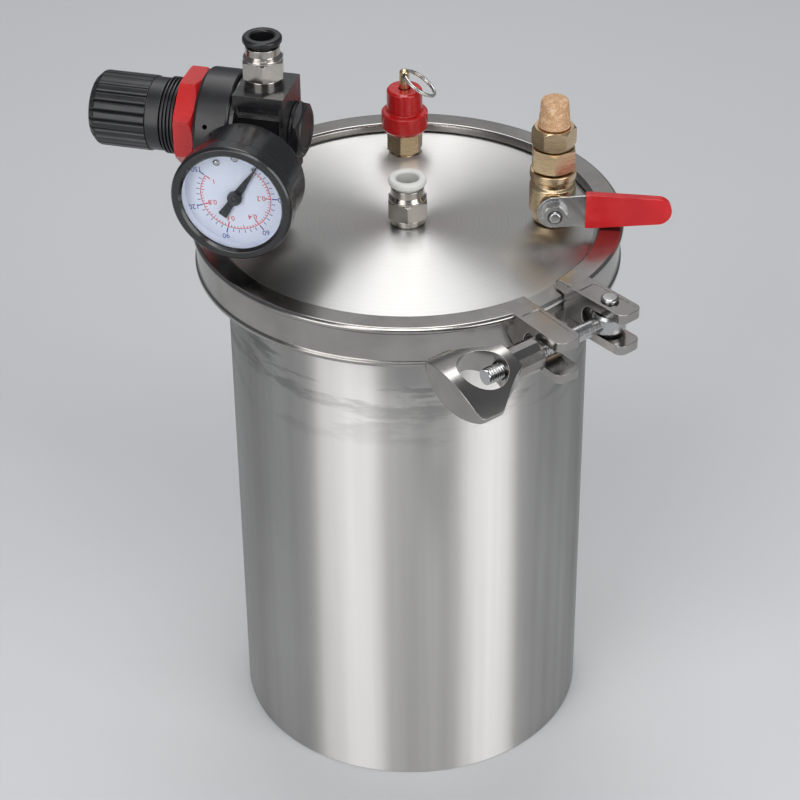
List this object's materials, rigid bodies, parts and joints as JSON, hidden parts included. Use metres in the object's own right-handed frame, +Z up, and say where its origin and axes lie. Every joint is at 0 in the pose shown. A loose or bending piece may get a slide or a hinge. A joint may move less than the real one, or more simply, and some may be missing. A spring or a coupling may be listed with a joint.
{
  "type": "resin pressure pot",
  "caption": "Small cylindrical stainless pressure pot with a clamped flat lid carrying a regulator with gauge, relief valve, vent valve with silencer and a push-in tube fitting.",
  "frame": {"origin": "centre of the vessel's base, on the surface it stands on", "axes": "+Z up along the vessel's axis, -Y towards the front, where the gauge and wing nut are, and +X to the right"},
  "size_m": [0.2079, 0.1943, 0.2846],
  "materials": {
    "polished_steel": "mirror-polished stainless steel",
    "brushed_steel": "circular-brushed stainless steel",
    "cast_steel": "investment-cast and tumbled stainless steel",
    "plated_steel": "zinc-plated steel",
    "spring_steel": "drawn spring wire",
    "nickel_brass": "nickel-plated brass",
    "yellow_brass": "turned brass",
    "sintered_bronze": "grainy sintered bronze",
    "red_plastic": "glossy red moulding",
    "red_vinyl": "dipped red vinyl",
    "black_plastic": "satin black moulding",
    "black_enamel": "semi-gloss black enamel",
    "grey_plastic": "white-grey moulding",
    "rubber": "black nitrile",
    "ptfe": "white fluoropolymer",
    "dial_face": "matt white enamel with printed scales",
    "clear_lens": "clear flat lens"
  },
  "bodies": {
    "vessel": {"vessel_shell": "polished_steel", "vessel_flange": "brushed_steel", "gasket": "ptfe"},
    "lid": {"lid_plate": "brushed_steel", "lid_boss_centre": "cast_steel", "lid_boss_inlet": "cast_steel", "lid_boss_relief": "cast_steel", "lid_boss_vent": "cast_steel", "centre_fitting_body": "nickel_brass", "centre_fitting_oring": "rubber", "centre_fitting_grip_ring": "spring_steel", "inlet_fitting_body": "nickel_brass", "inlet_fitting_oring": "rubber", "inlet_fitting_grip_ring": "spring_steel", "relief_body": "yellow_brass", "relief_cap": "red_plastic", "relief_spring": "spring_steel", "vent_valve_body": "yellow_brass", "vent_valve_end": "yellow_brass", "vent_seat_lower": "ptfe", "vent_seat_upper": "ptfe", "silencer_base": "yellow_brass", "silencer_element": "sintered_bronze", "inlet_riser": "nickel_brass", "regulator_block": "black_enamel", "regulator_bonnet": "black_plastic", "panel_nut": "red_plastic", "adjusting_spring": "spring_steel", "diaphragm_plate": "plated_steel", "diaphragm": "rubber", "poppet_spring": "spring_steel", "regulator_plug": "black_plastic", "gauge_stem": "yellow_brass", "gauge_case": "black_enamel", "gauge_bezel": "black_enamel", "gauge_lens": "clear_lens", "gauge_dial": "dial_face", "bourdon_tube": "yellow_brass", "gauge_movement": "yellow_brass"},
    "clamp_front": {"clamp_front": "cast_steel"},
    "clamp_rear": {"clamp_rear": "cast_steel", "hinge_pin": "plated_steel", "bolt_pin": "plated_steel"},
    "eye_bolt": {"eye_bolt": "plated_steel"},
    "wing_nut": {"wing_nut": "cast_steel"},
    "relief_stem": {"relief_stem": "yellow_brass", "relief_disc": "rubber"},
    "pull_ring": {"pull_ring": "spring_steel"},
    "lever": {"vent_lever": "plated_steel", "lever_sleeve": "red_vinyl", "lever_nut": "plated_steel", "vent_stem": "plated_steel", "vent_ball": "nickel_brass"},
    "adjusting_screw": {"adjusting_screw": "plated_steel"},
    "knob": {"regulator_knob": "black_plastic"},
    "spring_seat": {"spring_seat": "plated_steel"},
    "poppet": {"poppet": "yellow_brass"},
    "pointer": {"gauge_pointer": "black_enamel"},
    "centre_collar": {"centre_fitting_collar": "grey_plastic"},
    "inlet_collar": {"inlet_fitting_collar": "black_plastic"}
  },
  "joints": [
    {"name": "lid_lift", "type": "slide", "parent": "vessel", "child": "lid", "axis": [0, 0, 1], "range_m": [0, 0.22]},
    {"name": "clamp_front_open", "type": "hinge", "parent": "vessel", "child": "clamp_front", "pos_m": [-0.05455, 0.06387, 0.205], "axis": [0, 0, -1], "range_deg": [0, 96]},
    {"name": "clamp_rear_open", "type": "hinge", "parent": "vessel", "child": "clamp_rear", "pos_m": [-0.05455, 0.06387, 0.205], "axis": [0, 0, 1], "range_deg": [0, 96]},
    {"name": "bolt_swing", "type": "hinge", "parent": "clamp_rear", "child": "eye_bolt", "pos_m": [0.06872, -0.06074, 0.205], "axis": [0, 0, 1], "range_deg": [0, 120]},
    {"name": "wing_nut_turn", "type": "hinge", "parent": "eye_bolt", "child": "wing_nut", "pos_m": [0.06872, -0.06074, 0.205], "axis": [-0.7826, -0.6225, 0], "continuous": true},
    {"name": "relief_pull", "type": "slide", "parent": "lid", "child": "relief_stem", "axis": [0, 0, 1], "range_m": [0, 0.0025], "stiffness_N_per_m": 2000, "deforming": ["relief_spring"]},
    {"name": "ring_swing", "type": "hinge", "parent": "relief_stem", "child": "pull_ring", "pos_m": [-0.0006, 0.053, 0.2422], "axis": [0, -1, 0], "range_deg": [-18, 250]},
    {"name": "lever_turn", "type": "hinge", "parent": "lid", "child": "lever", "pos_m": [0.0524, 0.001, 0.2192], "axis": [0, -1, 0], "range_deg": [0, 90]},
    {"name": "knob_turn", "type": "hinge", "parent": "lid", "child": "adjusting_screw", "pos_m": [-0.05, 0, 0.2493], "axis": [0.9659, -0.2588, 0], "range_deg": [0, 1440]},
    {"name": "knob_pull", "type": "slide", "parent": "adjusting_screw", "child": "knob", "axis": [-0.9659, 0.2588, 0], "range_m": [0, 0.003]},
    {"name": "seat_travel", "type": "slide", "parent": "lid", "child": "spring_seat", "axis": [0.9659, -0.2588, 0], "range_m": [0, 0.004], "deforming": ["adjusting_spring"]},
    {"name": "poppet_travel", "type": "slide", "parent": "lid", "child": "poppet", "axis": [0.9659, -0.2588, 0], "range_m": [0, 0.0008], "deforming": ["poppet_spring"]},
    {"name": "pointer_turn", "type": "hinge", "parent": "lid", "child": "pointer", "pos_m": [-0.05, 0, 0.2405], "axis": [0.2588, 0.9659, 0], "range_deg": [0, 270]},
    {"name": "centre_collar_press", "type": "slide", "parent": "lid", "child": "centre_collar", "axis": [0, 0, -1], "range_m": [0, 0.001]},
    {"name": "inlet_collar_press", "type": "slide", "parent": "lid", "child": "inlet_collar", "axis": [0, 0, -1], "range_m": [0, 0.001]}
  ],
  "couplings": [
    {"joint": "clamp_front_open", "follows": "lid_lift", "rad_per_m": 7.6159},
    {"joint": "clamp_rear_open", "follows": "lid_lift", "rad_per_m": 7.6159},
    {"joint": "bolt_swing", "follows": "lid_lift", "rad_per_m": 9.5199},
    {"joint": "seat_travel", "follows": "knob_turn", "m_per_rad": 0.000159},
    {"joint": "poppet_travel", "follows": "knob_turn", "m_per_rad": 0.0000318}
  ]
}
